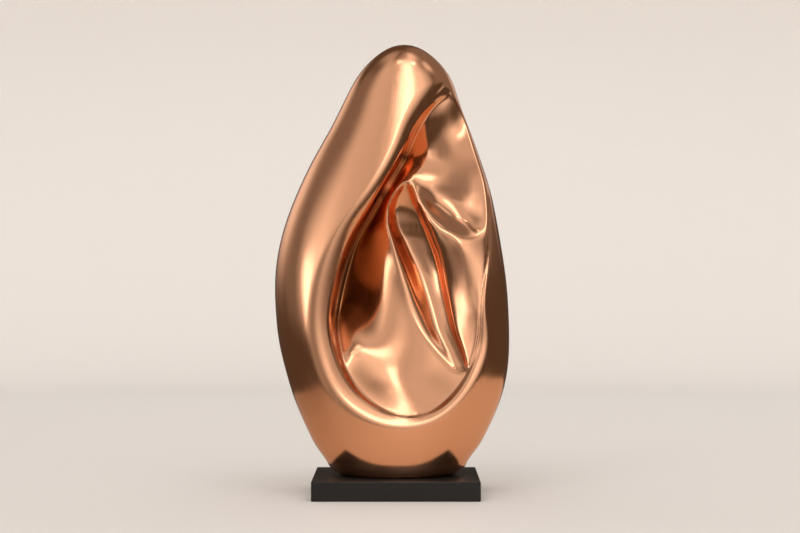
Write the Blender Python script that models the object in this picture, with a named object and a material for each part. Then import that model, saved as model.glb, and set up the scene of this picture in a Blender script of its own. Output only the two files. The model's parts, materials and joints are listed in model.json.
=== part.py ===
"""Abstract cast sculpture, a pointed egg wrapped in one fold, on a low black plinth.

Metres, +Z up. The origin is the centre of the plinth's underside and the carved face looks along -Y.
"""
import bmesh
import bpy
import numpy as np

# Plinth
PLINTH_LENGTH = 0.170
PLINTH_DEPTH = 0.140
PLINTH_HEIGHT = 0.020
PLINTH_BEVEL = 0.0008
PLINTH_BEVEL_SEGMENTS = 2
SEAT_GAP = 0.0003

# Sculpture: one height drives it, and its carving is laid out in shares of that height
BODY_HEIGHT = 0.445
SHARES = 445
UNIT = BODY_HEIGHT / SHARES
SECTION_POWER = 2.35

# Outline at heights above the plinth: height, middle of the width, half width, half depth
OUTLINE = (
    (0, 1.6, 57.0, 42.0), (3, 1.6, 63.8, 44.0), (13, 1.2, 72.6, 47.5), (30, 1.3, 84.5, 51.0),
    (46, 1.6, 93.0, 53.5), (77, 1.6, 106.3, 57.0), (108, 0.5, 114.8, 59.0), (139, -2.1, 119.3, 59.5),
    (170, -4.1, 120.5, 58.5), (201, -5.6, 119.6, 56.5), (233, -6.0, 115.4, 54.0),
    (264, -4.5, 108.5, 51.0), (295, -1.8, 99.0, 47.5), (326, 0.8, 86.6, 43.0), (357, 3.8, 72.3, 38.0),
    (388, 5.9, 58.8, 32.0), (409, 7.7, 49.4, 27.5), (437, 8.5, 23.6, 13.1), (445, 8.6, 0.0, 0.0),
)

# Inner edge of the fold, once round the opening: sideways, up, width of the brow outside it
FOLD_EDGE = (
    (59, 404.5, 9), (45.5, 395.5, 14), (31, 375.5, 13), (19.5, 357, 11), (9.5, 337.5, 9),
    (-8.5, 306, 8), (-28, 273, 11), (-45.5, 243, 14), (-60, 198.5, 17), (-65.5, 158, 18),
    (-59, 125.5, 20), (-44.5, 96.5, 19), (-22, 76, 15), (6, 65.5, 11), (33, 68.5, 9), (56, 85, 9),
    (72.5, 110, 10), (82, 138, 11), (85, 168, 11), (89, 201.5, 10), (93.5, 232.5, 8), (94.5, 258.5, 6),
    (94.5, 284.5, 5), (90, 313.5, 5), (82, 341.5, 5), (73.5, 368.5, 5), (66.5, 389, 5),
)

# Lines drawn on the inner sheet: sideways, up, height above the middle plane
INNER_SHEET = {
    "valley": (
        (55, 404.5, 25), (51, 390, 20), (45.5, 374.5, 14), (36.5, 354, 5), (18.5, 328, -6),
        (0, 304, -14), (-15.5, 278, -19), (-30, 252, -22), (-42.5, 224, -22), (-50, 195, -18),
        (-52, 168, -9), (-48.5, 143.5, 6),
    ),
    "ridge": (
        (13.5, 307, 15), (1, 298, 15), (-7.5, 282.5, 15), (-8.5, 259.5, 15), (-1, 232.5, 15),
        (8.5, 199.5, 16), (15.5, 167, 19), (19.5, 139, 24),
    ),
    "lip crest": ((23, 285.5, 34), (42.5, 260, 42), (62, 250.5, 44), (79, 247, 42)),
    "trough rim": ((36.5, 238.5, 36), (45.5, 216, 37), (53, 193, 36), (62, 162, 36)),
    "lip": ((60, 237.5, 42), (72.5, 220, 44), (73.5, 196, 42), (79, 168, 42)),
    "right margin": (
        (64.5, 388, 16), (71.5, 368.5, 15), (82, 341.5, 16), (91.5, 313.5, 18), (96.5, 284.5, 22),
        (97.5, 255.5, 27), (96.5, 222, 33), (94.5, 191, 38),
    ),
    "low ridge": ((64.5, 355, 16), (51, 339.5, 15), (37.5, 320.5, 10)),
    "tongue": ((-15.5, 251, 8), (-14.5, 220, 11), (-13.5, 191, 14), (-12.5, 165, 18), (-13.5, 141, 23)),
    "bowl rim": (
        (79, 134, 41), (68.5, 103, 44), (45.5, 75, 47), (11.5, 64.5, 48), (-23, 77, 43),
        (-47.5, 101, 31), (-60, 129, 16), (-63.5, 160, 2),
    ),
    "bowl": (
        (-31, 112, 26), (-11.5, 89.5, 38), (4, 118.5, 29), (11.5, 97.5, 36), (37.5, 88.5, 40),
        (54, 112, 35),
    ),
}

# Lines on the dish above the lip, cut into the inner sheet
DISH_SHEET = {
    "bed": ((31, 303, 13), (43.5, 299, 12), (56, 296, 12), (68.5, 291.5, 13.5), (80, 288.5, 17)),
    "lower wall": ((36.5, 280, 17), (48.5, 270, 19), (64.5, 262.5, 20), (79, 262.5, 21)),
    "crest": (
        (15.5, 301, 17), (24, 284.5, 25), (42.5, 259.5, 33), (62, 249, 35), (80, 246, 35),
        (92.5, 252, 33),
    ),
    "beyond": ((15.5, 281.5, 38), (35.5, 250, 54), (60, 236.5, 56), (82, 232.5, 56)),
    "upper wall": ((34, 319.5, 13), (48.5, 333, 15), (62, 340.5, 16.5), (74.5, 337.5, 18)),
    "above": ((37.5, 340.5, 22), (56, 359, 25)),
    "right": ((85, 321.5, 18), (91.5, 303, 20), (93.5, 279, 26)),
}

# Lanes down the trough on the right, at shared levels: sideways, height above the middle plane
TROUGH_LEVELS = (299, 284.5, 272, 261.5, 253.5, 243, 230.5, 212, 191, 170.5, 149.5, 129, 112)
TROUGH_LANES = (
    (
        (5, 16), (-5, 16), (-9, 15), (-9, 15), (-7.5, 15), (-4, 15), (0, 15), (6, 16), (12.5, 18),
        (17, 21), (25, 25), (37.5, 32), (53, 40),
    ),
    (
        (9.5, 12), (2, 8), (1, 6), (2, 3), (5, -2), (10.5, -6), (16.5, -8), (24, -8), (30, -4),
        (36.5, 3), (43.5, 12), (54, 25), (62, 37),
    ),
    (
        (12.5, 14), (11.5, 10), (15.5, 9), (20.5, 7), (26, 1), (32, -4), (38.5, -6), (44.5, -5),
        (50, 0), (54, 8), (59, 18), (66.5, 30), (69.5, 39),
    ),
    (
        (16.5, 20), (23, 24), (31, 27), (38.5, 29), (43.5, 29), (48.5, 28), (54, 27), (59, 27),
        (62, 27), (65.5, 28), (69.5, 32), (74.5, 38), (76.5, 43),
    ),
    (
        (25, 34), (30, 33), (38.5, 34), (46.5, 35), (54, 34.5), (62, 34), (68.5, 33), (72.5, 32),
        (75.5, 32), (78, 33), (81, 37), (83, 43), (85, 47),
    ),
    (
        (45.5, 60), (52, 60), (62, 56), (72.5, 50), (81, 40), (89, 34), (91.5, 32), (91.5, 32),
        (90, 33), (89, 35), (88, 40), (87, 46), (87, 50),
    ),
)
CLOSING_SLOPE = 1.5

# How the sheets are drawn and joined, in the same shares
EDGE_STEPS = 300
LINE_STEP = 9.0
LINE_CLEARANCE = 3.0
PLATE_SPAN = 100.0
INNER_SLACK = 0.006
DISH_SLACK = 0.002
TROUGH_ROUNDING = 4.0
DISH_ROUNDING = 10.0
MARGIN_ROUNDING = 3.0
CREASE_ROUNDING = 2.0
TOP_EXTRA_ROUNDING = 10.0
TOP_ROUNDING_START = 365.0
TOP_ROUNDING_SPAN = 60.0
BROW_SLOPE = 0.62
BROW_BEND = 8.0
WALL_SLOPE = 6.0
WALL_BEND = 4.0
TOP_BROW_SLOPE = 0.45
TOP_WALL_SLOPE = 0.8
TOP_START = 305.0
TOP_SPAN = 85.0
BROW_REACH = 1.25
OUTSIDE = -99.0
SOFTENING = 1.8

# Grid on which the carving is worked out
GRID_SIDE = np.arange(-130.0, 131.0)
GRID_UP = np.arange(-6.0, 452.0)
TIP_CLEARANCE = 0.5
RIM_SHARE = 0.9999

# Facets
FOOT_RING_HEIGHTS = (0.0, 2.0, 5.0, 9.0)
FIRST_BODY_RING = 14.0
BODY_RINGS = 50
TIP_CROWDING = 1.35
FRONT_COLUMNS = 64
BACK_COLUMNS = 20
FINE_COLUMNS = 241
ARC_SHARE = 0.6
SHARP_ANGLE = np.radians(50.0)

COPPER = {"Base Color": (0.86, 0.42, 0.24, 1.0), "Metallic": 1.0, "Roughness": 0.18}
BLACK_STONE = {"Base Color": (0.012, 0.011, 0.010, 1.0), "Metallic": 0.0, "Roughness": 0.32}


def clear_scene():
    for item in list(bpy.data.objects):
        bpy.data.objects.remove(item)


def make_material(name, values):
    material = bpy.data.materials.new(name)
    material.use_nodes = True
    shader = material.node_tree.nodes["Principled BSDF"]
    for socket, value in values.items():
        shader.inputs[socket].default_value = value
    return material


def spline(at, knots, values, closed=False):
    """Piecewise cubic through the rows of values, with slope and bend continuous at every knot."""
    knots = np.asarray(knots, dtype=float)
    values = np.asarray(values, dtype=float)
    steps = np.diff(knots)
    count = len(knots)
    slopes = np.diff(values, axis=0) / steps[:, None]
    system = np.eye(count)
    right = np.zeros_like(values)
    for k in range(1, count - 1):
        system[k, k - 1:k + 2] = steps[k - 1], 2 * (steps[k - 1] + steps[k]), steps[k]
        right[k] = 6 * (slopes[k] - slopes[k - 1])
    if closed:
        system[0, [0, 1, -2]] = 2 * (steps[-1] + steps[0]), steps[0], steps[-1]
        right[0] = 6 * (slopes[0] - slopes[-1])
        system[-1, 0] = -1.0
    bends = np.linalg.solve(system, right)
    at = np.clip(at, knots[0], knots[-1])
    k = np.clip(np.searchsorted(knots, at, side="right") - 1, 0, count - 2)
    span = steps[k][:, None]
    before = (at - knots[k])[:, None]
    after = span - before
    ends = (values[k] * after + values[k + 1] * before) / span
    bow = bends[k] * (after**3 / span - after * span) + bends[k + 1] * (before**3 / span - before * span)
    return ends + bow / 6


def draw_line(points, count, closed=False):
    """Points spread along a spline that runs through the given ones."""
    rows = np.array(points, dtype=float)
    if closed:
        rows = np.vstack([rows, rows[:1]])
    chords = np.sqrt(np.linalg.norm(np.diff(rows[:, :2], axis=0), axis=1))
    knots = np.concatenate([[0.0], np.cumsum(chords)])
    return spline(np.linspace(0.0, knots[-1], count), knots, rows, closed)


def ease(t):
    """Runs from 0 to 1 with no slope and no bend at either end: t ** 3 * (6 t ** 2 - 15 t + 10)."""
    t = np.clip(t, 0.0, 1.0)
    return t**3 * (t * (6 * t - 15) + 10)


def blend_low(a, b, width):
    """The lower of a and b, rounded where they come within the width of each other."""
    share = np.clip(0.5 + 0.5 * (b - a) / width, 0.0, 1.0)
    return b + (a - b) * share - width * share * (1 - share)


def soft_bend(distance, width):
    """Nought before the bend and the distance itself past it, rounded over the width on either side."""
    return -blend_low(-distance, 0.0, width)


def outline_at(up):
    """Middle, half width and half depth of the level section at each height."""
    rows = np.array(OUTLINE)
    squares = np.column_stack([rows[:, 1], rows[:, 2]**2, rows[:, 3]**2])
    middle, wide, deep = spline(up, rows[:, 0], squares).T
    return middle, np.sqrt(np.maximum(wide, 0.0)), np.sqrt(np.maximum(deep, 0.0))


def egg_depth(side, middle, wide, deep):
    """Superellipse: depth = deep * (1 - (distance from the middle / wide) ** power) ** (1 / power)."""
    share = np.clip(np.abs(side - middle) / np.maximum(wide, 1e-6), 0.0, 1.0)
    return deep * (1 - share**SECTION_POWER)**(1 / SECTION_POWER)


def edge_distance(side, up):
    """Distance inside the closed line, negative outside it, and the brow's width at its nearest place."""
    line = draw_line(FOLD_EDGE, EDGE_STEPS, closed=True)
    nearest = np.full(side.shape, np.inf)
    turn = np.zeros(side.shape)
    width = np.zeros(side.shape)
    for start, end in zip(line[:-1], line[1:]):
        run = end - start
        across = side - start[0]
        above = up - start[1]
        along = np.clip((across * run[0] + above * run[1]) / (run[0]**2 + run[1]**2), 0.0, 1.0)
        square = (across - along * run[0])**2 + (above - along * run[1])**2
        closer = square < nearest
        nearest = np.where(closer, square, nearest)
        turn = np.where(closer, run[0] * above - run[1] * across, turn)
        width = np.where(closer, start[2] + along * run[2], width)
    return np.copysign(np.sqrt(nearest), turn), width


def pins_on(lines):
    """Pins spread along the lines, none closer to another than the clearance."""
    pins = []
    for line in lines.values():
        reach = np.linalg.norm(np.diff(np.array(line, dtype=float)[:, :2], axis=0), axis=1).sum()
        for row in draw_line(line, max(len(line), int(round(reach / LINE_STEP)) + 1)):
            if all(np.hypot(*(row[:2] - pin[:2])) > LINE_CLEARANCE for pin in pins):
                pins.append(row)
    return np.array(pins)


def membrane(lines, slack, side, up):
    """Thin plate: a plane plus, for every pin, weight * distance ** 2 * log(distance)."""
    pins = pins_on(lines)
    flat = pins[:, :2] / PLATE_SPAN

    def bending(square):
        return 0.5 * square * np.log(square + 1e-12)

    between = ((flat[:, None] - flat[None])**2).sum(axis=2)
    plane = np.column_stack([np.ones(len(flat)), flat])
    system = np.block([[bending(between) + slack * np.eye(len(flat)), plane], [plane.T, np.zeros((3, 3))]])
    weights = np.linalg.solve(system, np.concatenate([pins[:, 2], np.zeros(3)]))
    height = weights[-3] + weights[-2] * side / PLATE_SPAN + weights[-1] * up / PLATE_SPAN
    for weight, (pin_side, pin_up) in zip(weights, flat):
        height = height + weight * bending((side / PLATE_SPAN - pin_side)**2 + (up / PLATE_SPAN - pin_up)**2)
    return height


def steady_cubic(at, knots, values):
    """One cubic row per point through its own knots, with slopes chosen so that it never overshoots."""
    steps = np.diff(knots, axis=1)
    rises = np.diff(values, axis=1) / steps
    early = 2 * steps[:, 1:] + steps[:, :-1]
    late = steps[:, 1:] + 2 * steps[:, :-1]
    same = rises[:, :-1] * rises[:, 1:] > 0
    first = np.where(same, rises[:, :-1], 1.0)
    second = np.where(same, rises[:, 1:], 1.0)
    inner = np.where(same, (early + late) / (early / first + late / second), 0.0)
    slopes = np.concatenate([rises[:, :1], inner, rises[:, -1:]], axis=1)
    point = np.arange(len(at))
    k = np.clip((at[:, None] >= knots).sum(axis=1) - 1, 0, knots.shape[1] - 2)
    step = steps[point, k]
    t = np.clip((at - knots[point, k]) / step, 0.0, 1.0)
    height = (2 * t**3 - 3 * t**2 + 1) * values[point, k]
    height = height + (3 * t**2 - 2 * t**3) * values[point, k + 1]
    height = height + step * (t**3 - 2 * t**2 + t) * slopes[point, k]
    height = height + step * (t**3 - t**2) * slopes[point, k + 1]
    before = np.maximum(knots[:, 0] - at, 0.0)
    after = np.maximum(at - knots[:, -1], 0.0)
    return height - before * slopes[:, 0] + after * slopes[:, -1]


def trough(side, up):
    """A loft: every lane is read at the point's height, then a steady cubic runs across the lanes."""
    levels = np.array(TROUGH_LEVELS[::-1], dtype=float)
    held = np.clip(up, levels[0], levels[-1])
    knots = np.broadcast_to(levels, (len(up), len(levels)))
    places = []
    heights = []
    for lane in TROUGH_LANES:
        rows = np.array(lane[::-1], dtype=float)
        places.append(steady_cubic(held, knots, np.broadcast_to(rows[:, 0], knots.shape)))
        heights.append(steady_cubic(held, knots, np.broadcast_to(rows[:, 1], knots.shape)))
    height = steady_cubic(side, np.column_stack(places), np.column_stack(heights))
    return height + CLOSING_SLOPE * np.abs(up - held)


def carving(side, up):
    """How far the metal lies behind the egg's own surface, at points across the front."""
    egg = egg_depth(side, *outline_at(up))
    inside, width = edge_distance(side, up)
    high = ease((up - TOP_START) / TOP_SPAN)
    brow = BROW_SLOPE + (TOP_BROW_SLOPE - BROW_SLOPE) * high
    wall = WALL_SLOPE + (TOP_WALL_SLOPE - WALL_SLOPE) * high
    fold = egg - brow * soft_bend(inside + width, BROW_BEND) - (wall - brow) * soft_bend(inside, WALL_BEND)
    sheet = blend_low(membrane(INNER_SHEET, INNER_SLACK, side, up), trough(side, up), TROUGH_ROUNDING)
    sheet = blend_low(sheet, membrane(DISH_SHEET, DISH_SLACK, side, up), DISH_ROUNDING)
    sheet = blend_low(sheet, egg, MARGIN_ROUNDING)
    sheet = np.where(inside > -BROW_REACH * width, sheet, OUTSIDE)
    rounding = CREASE_ROUNDING + TOP_EXTRA_ROUNDING * ease((up - TOP_ROUNDING_START) / TOP_ROUNDING_SPAN)
    metal = -blend_low(-fold, -sheet, rounding)
    return np.maximum(egg - metal, 0.0)


def soften(field, width):
    """Average with a bell-shaped weight, first down the grid and then across it."""
    reach = int(4 * width) + 1
    weights = np.exp(-0.5 * (np.arange(-reach, reach + 1) / width)**2)
    weights /= weights.sum()
    for turn in range(2):
        padded = np.pad(field, ((reach, reach), (0, 0)), mode="edge")
        field = sum(weight * padded[k:len(padded) - 2 * reach + k] for k, weight in enumerate(weights)).T
    return field


def read_grid(field, side, up):
    """Cubic in both directions through the sixteen grid values round each point."""
    def weights(t):
        before = (((-t + 2) * t - 1) * t / 2, ((3 * t - 5) * t * t + 2) / 2)
        after = (((-3 * t + 4) * t + 1) * t / 2, (t - 1) * t * t / 2)
        return before + after

    column = np.clip(np.floor(side - GRID_SIDE[0]).astype(int), 1, len(GRID_SIDE) - 3)
    row = np.clip(np.floor(up - GRID_UP[0]).astype(int), 1, len(GRID_UP) - 3)
    across = weights(side - GRID_SIDE[0] - column)
    upward = weights(up - GRID_UP[0] - row)
    total = 0.0
    for j in range(4):
        for i in range(4):
            total = total + upward[j] * across[i] * field[row + j - 1, column + i - 1]
    return total


def carving_grid():
    """Softened depth of the carving on the whole grid."""
    side, up = np.meshgrid(GRID_SIDE, GRID_UP)
    up_held = np.clip(up.ravel(), 0.0, SHARES - TIP_CLEARANCE)
    middle, wide, _ = outline_at(up_held)
    side_held = np.clip(side.ravel(), middle - RIM_SHARE * wide, middle + RIM_SHARE * wide)
    return soften(carving(side_held, up_held).reshape(side.shape), SOFTENING)


def ring_heights():
    t = np.linspace(0.0, 1.0, BODY_RINGS + 1)[:-1]
    body = FIRST_BODY_RING + (SHARES - FIRST_BODY_RING) * (1 - (1 - t)**TIP_CROWDING)
    return np.concatenate([FOOT_RING_HEIGHTS, body])


def body_rings():
    """Closed level rings, each one the carved front from left to right and then the smooth back."""
    heights = ring_heights()
    middle, wide, deep = outline_at(heights)
    sweep = np.sin(np.linspace(-np.pi / 2, np.pi / 2, FINE_COLUMNS))
    back_sweep = np.sin(np.linspace(np.pi / 2, -np.pi / 2, BACK_COLUMNS + 2)[1:-1])
    spots = np.linspace(0.0, 1.0, FRONT_COLUMNS)
    depth = carving_grid()
    rings = []
    for k, height in enumerate(heights):
        side = middle[k] + wide[k] * sweep
        front = egg_depth(side, middle[k], wide[k], deep[k])
        front = front - np.maximum(read_grid(depth, side, np.full(len(side), height)), 0.0)
        front[[0, -1]] = 0.0
        arc = np.concatenate([[0.0], np.cumsum(np.hypot(np.diff(side), np.diff(front)))])
        pace = ARC_SHARE * arc / arc[-1] + (1 - ARC_SHARE) * np.linspace(0.0, 1.0, FINE_COLUMNS)
        back_side = middle[k] + wide[k] * back_sweep
        ring_side = np.concatenate([np.interp(spots, pace, side), back_side])
        back_out = egg_depth(back_side, middle[k], wide[k], deep[k])
        ring_out = np.concatenate([-np.interp(spots, pace, front), back_out])
        rings.append(np.column_stack([ring_side, ring_out, np.full(len(ring_side), height)]) * UNIT)
    return rings


def make_sculpture():
    mesh = bpy.data.meshes.new("sculpture")
    shape = bmesh.new()
    rings = [[shape.verts.new(point) for point in ring] for ring in body_rings()]
    for lower, upper in zip(rings, rings[1:]):
        for k in range(len(lower)):
            after = (k + 1) % len(lower)
            shape.faces.new((lower[k], lower[after], upper[after], upper[k]))
    tip = shape.verts.new((OUTLINE[-1][1] * UNIT, 0.0, BODY_HEIGHT))
    foot = shape.verts.new((OUTLINE[0][1] * UNIT, 0.0, 0.0))
    for k in range(len(rings[0])):
        after = (k + 1) % len(rings[0])
        shape.faces.new((rings[-1][k], rings[-1][after], tip))
        shape.faces.new((rings[0][after], rings[0][k], foot))
    bmesh.ops.triangulate(shape, faces=shape.faces, quad_method="SHORT_EDGE")
    bmesh.ops.recalc_face_normals(shape, faces=shape.faces)
    shape.to_mesh(mesh)
    shape.free()
    mesh.shade_smooth()
    mesh.set_sharp_from_angle(angle=SHARP_ANGLE)
    mesh.materials.append(make_material("copper", COPPER))
    sculpture = bpy.data.objects.new("sculpture", mesh)
    sculpture.location = (0.0, 0.0, PLINTH_HEIGHT + SEAT_GAP)
    bpy.context.scene.collection.objects.link(sculpture)
    return sculpture


def make_plinth():
    mesh = bpy.data.meshes.new("plinth")
    shape = bmesh.new()
    bmesh.ops.create_cube(shape, size=1.0)
    bmesh.ops.scale(shape, vec=(PLINTH_LENGTH, PLINTH_DEPTH, PLINTH_HEIGHT), verts=shape.verts)
    bmesh.ops.translate(shape, vec=(0.0, 0.0, PLINTH_HEIGHT / 2), verts=shape.verts)
    shape.to_mesh(mesh)
    shape.free()
    mesh.materials.append(make_material("black_stone", BLACK_STONE))
    plinth = bpy.data.objects.new("plinth", mesh)
    bevel = plinth.modifiers.new("edges", "BEVEL")
    bevel.width = PLINTH_BEVEL
    bevel.segments = PLINTH_BEVEL_SEGMENTS
    bpy.context.scene.collection.objects.link(plinth)
    return plinth


clear_scene()
make_plinth()
make_sculpture()
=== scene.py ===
# %% [markdown]
# # A polished copper sculpture on a black stone plinth
#
# The real object is a cast copper egg, drawn up to a blunt tip. One thick fold wraps round its front, and
# inside that fold the metal sinks into three hollows: a deep one on the left, a trough on the right and a
# dish above it. It stands on a low slab of honed black stone.
#
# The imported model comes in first. It fixes the size and the place of everything that follows.

# %% Load the frame
import json
import math

import bpy
import numpy as np
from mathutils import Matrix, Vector

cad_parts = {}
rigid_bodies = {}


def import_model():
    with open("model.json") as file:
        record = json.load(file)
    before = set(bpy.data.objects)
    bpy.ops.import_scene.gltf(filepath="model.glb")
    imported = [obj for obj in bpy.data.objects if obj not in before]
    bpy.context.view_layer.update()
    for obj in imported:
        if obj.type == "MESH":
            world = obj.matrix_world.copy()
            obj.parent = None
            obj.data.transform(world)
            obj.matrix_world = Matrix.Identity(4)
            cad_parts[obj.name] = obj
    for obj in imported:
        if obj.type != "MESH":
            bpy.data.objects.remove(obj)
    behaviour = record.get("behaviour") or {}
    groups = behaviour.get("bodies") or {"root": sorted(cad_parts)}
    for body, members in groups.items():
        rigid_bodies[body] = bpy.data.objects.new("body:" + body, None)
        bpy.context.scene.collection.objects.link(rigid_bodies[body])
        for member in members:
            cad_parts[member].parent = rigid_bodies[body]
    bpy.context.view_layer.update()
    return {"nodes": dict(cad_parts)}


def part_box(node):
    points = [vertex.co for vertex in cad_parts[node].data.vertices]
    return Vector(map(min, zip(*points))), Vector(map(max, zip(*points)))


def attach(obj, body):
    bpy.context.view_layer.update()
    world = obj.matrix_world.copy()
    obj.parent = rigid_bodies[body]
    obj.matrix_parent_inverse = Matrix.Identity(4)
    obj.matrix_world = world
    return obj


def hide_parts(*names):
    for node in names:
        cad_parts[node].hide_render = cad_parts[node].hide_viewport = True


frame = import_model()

sculpture_low, sculpture_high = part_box("sculpture")
print("nodes:", sorted(frame["nodes"]))

# %% [markdown]
# ## One unit for the whole form
#
# The form is laid out in shares of its own height, 445 of them from the foot to the tip. A share is about a
# millimetre, which keeps the numbers easy to read, and one factor turns them all into metres.
#
# Two helpers do most of the drawing. A cubic spline runs smoothly through rows of numbers, and a drawn line
# is such a spline through points, spread evenly from end to end.

# %% Units and splines
SHARES = 445
UNIT = (sculpture_high[2] - sculpture_low[2]) / SHARES


def spline(at, knots, values, closed=False):
    """Piecewise cubic through the rows of values, with slope and bend continuous at every knot."""
    knots = np.asarray(knots, dtype=float)
    values = np.asarray(values, dtype=float)
    steps = np.diff(knots)
    count = len(knots)
    slopes = np.diff(values, axis=0) / steps[:, None]
    system = np.eye(count)
    right = np.zeros_like(values)
    for k in range(1, count - 1):
        system[k, k - 1:k + 2] = steps[k - 1], 2 * (steps[k - 1] + steps[k]), steps[k]
        right[k] = 6 * (slopes[k] - slopes[k - 1])
    if closed:
        system[0, [0, 1, -2]] = 2 * (steps[-1] + steps[0]), steps[0], steps[-1]
        right[0] = 6 * (slopes[0] - slopes[-1])
        system[-1, 0] = -1.0
    bends = np.linalg.solve(system, right)
    at = np.clip(at, knots[0], knots[-1])
    k = np.clip(np.searchsorted(knots, at, side="right") - 1, 0, count - 2)
    span = steps[k][:, None]
    before = (at - knots[k])[:, None]
    after = span - before
    ends = (values[k] * after + values[k + 1] * before) / span
    bow = bends[k] * (after**3 / span - after * span) + bends[k + 1] * (before**3 / span - before * span)
    return ends + bow / 6


def draw_line(points, count, closed=False):
    """Points spread along a spline that runs through the given ones."""
    rows = np.array(points, dtype=float)
    if closed:
        rows = np.vstack([rows, rows[:1]])
    chords = np.sqrt(np.linalg.norm(np.diff(rows[:, :2], axis=0), axis=1))
    knots = np.concatenate([[0.0], np.cumsum(chords)])
    return spline(np.linspace(0.0, knots[-1], count), knots, rows, closed)


print("one share is", round(UNIT * 1000, 4), "mm")

# %% [markdown]
# ## The egg
#
# Under all the carving is one smooth egg, wider than it is deep. A level section through it is a
# superellipse, a little squarer than an ellipse, so the fold keeps full, round shoulders.
#
# The half width and half depth are splined as squares. A square that runs straight to nought at the tip makes
# a round end there, where the widths themselves would make a point.

# %% The egg's outline
SECTION_POWER = 2.35
OUTLINE = (
    (0, 1.6, 57.0, 42.0), (3, 1.6, 63.8, 44.0), (13, 1.2, 72.6, 47.5), (30, 1.3, 84.5, 51.0),
    (46, 1.6, 93.0, 53.5), (77, 1.6, 106.3, 57.0), (108, 0.5, 114.8, 59.0), (139, -2.1, 119.3, 59.5),
    (170, -4.1, 120.5, 58.5), (201, -5.6, 119.6, 56.5), (233, -6.0, 115.4, 54.0), (264, -4.5, 108.5, 51.0),
    (295, -1.8, 99.0, 47.5), (326, 0.8, 86.6, 43.0), (357, 3.8, 72.3, 38.0), (388, 5.9, 58.8, 32.0),
    (409, 7.7, 49.4, 27.5), (437, 8.5, 23.6, 13.1), (445, 8.6, 0.0, 0.0),
)


def outline_at(up):
    """Middle, half width and half depth of the level section at each height."""
    rows = np.array(OUTLINE)
    squares = np.column_stack([rows[:, 1], rows[:, 2]**2, rows[:, 3]**2])
    middle, wide, deep = spline(up, rows[:, 0], squares).T
    return middle, np.sqrt(np.maximum(wide, 0.0)), np.sqrt(np.maximum(deep, 0.0))


def egg_depth(side, middle, wide, deep):
    """Superellipse: depth = deep * (1 - (distance from the middle / wide) ** power) ** (1 / power)."""
    share = np.clip(np.abs(side - middle) / np.maximum(wide, 1e-6), 0.0, 1.0)
    return deep * (1 - share**SECTION_POWER)**(1 / SECTION_POWER)


print("widest:", max(row[2] for row in OUTLINE) * 2, "shares, deepest:", max(row[3] for row in OUTLINE) * 2)

# %% [markdown]
# ## The edge of the fold
#
# The fold's inner edge is a closed line drawn on the front. Each of its points has a place across, a height,
# and the width over which the metal rolls in there: full and round at the lower left, sharp at the right.
#
# Everything about the fold follows from one number, how far a point lies inside that line.

# %% The fold's edge
FOLD_EDGE = (
    (59, 404.5, 1.5), (45.5, 395.5, 8), (31, 375.5, 12), (19.5, 357, 11), (9.5, 337.5, 9), (-8.5, 306, 8),
    (-28, 273, 11), (-45.5, 243, 14), (-60, 198.5, 17), (-65.5, 158, 18), (-59, 125.5, 20), (-44.5, 96.5, 19),
    (-22, 76, 15), (6, 65.5, 11), (33, 68.5, 9), (56, 85, 9), (72.5, 110, 10), (82, 138, 10), (85, 168, 5),
    (89, 201.5, 1), (93.5, 232.5, 0.5), (94.5, 258.5, 0.5), (94.5, 284.5, 0.5), (90, 313.5, 0.5),
    (82, 341.5, 0.5), (73.5, 368.5, 0.5), (66.5, 389, 1),
)
EDGE_STEPS = 400


def edge_distance(side, up):
    """Distance inside the closed line, negative outside it, and the roll's width at the nearest place."""
    line = draw_line(FOLD_EDGE, EDGE_STEPS, closed=True)
    nearest = np.full(side.shape, np.inf)
    turn = np.zeros(side.shape)
    radius = np.zeros(side.shape)
    for start, end in zip(line[:-1], line[1:]):
        run = end - start
        across = side - start[0]
        above = up - start[1]
        along = np.clip((across * run[0] + above * run[1]) / (run[0]**2 + run[1]**2), 0.0, 1.0)
        square = (across - along * run[0])**2 + (above - along * run[1])**2
        closer = square < nearest
        nearest = np.where(closer, square, nearest)
        turn = np.where(closer, run[0] * above - run[1] * across, turn)
        radius = np.where(closer, start[2] + along * run[2], radius)
    return np.copysign(np.sqrt(nearest), turn), radius


print("the edge passes through", len(FOLD_EDGE), "points")

# %% [markdown]
# ## The sheet inside the fold
#
# Inside the fold the metal is one flowing sheet. It dips along a valley under the left arm, rises to a ridge
# in the middle, runs down as a tongue and opens into a bowl at the bottom.
#
# Such a sheet is easiest to give by a few lines that lie on it. A thin plate spline fills in the rest: it is
# the shape that a springy sheet takes when it is pinned along those lines. A little slack keeps it from
# rippling.

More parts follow.
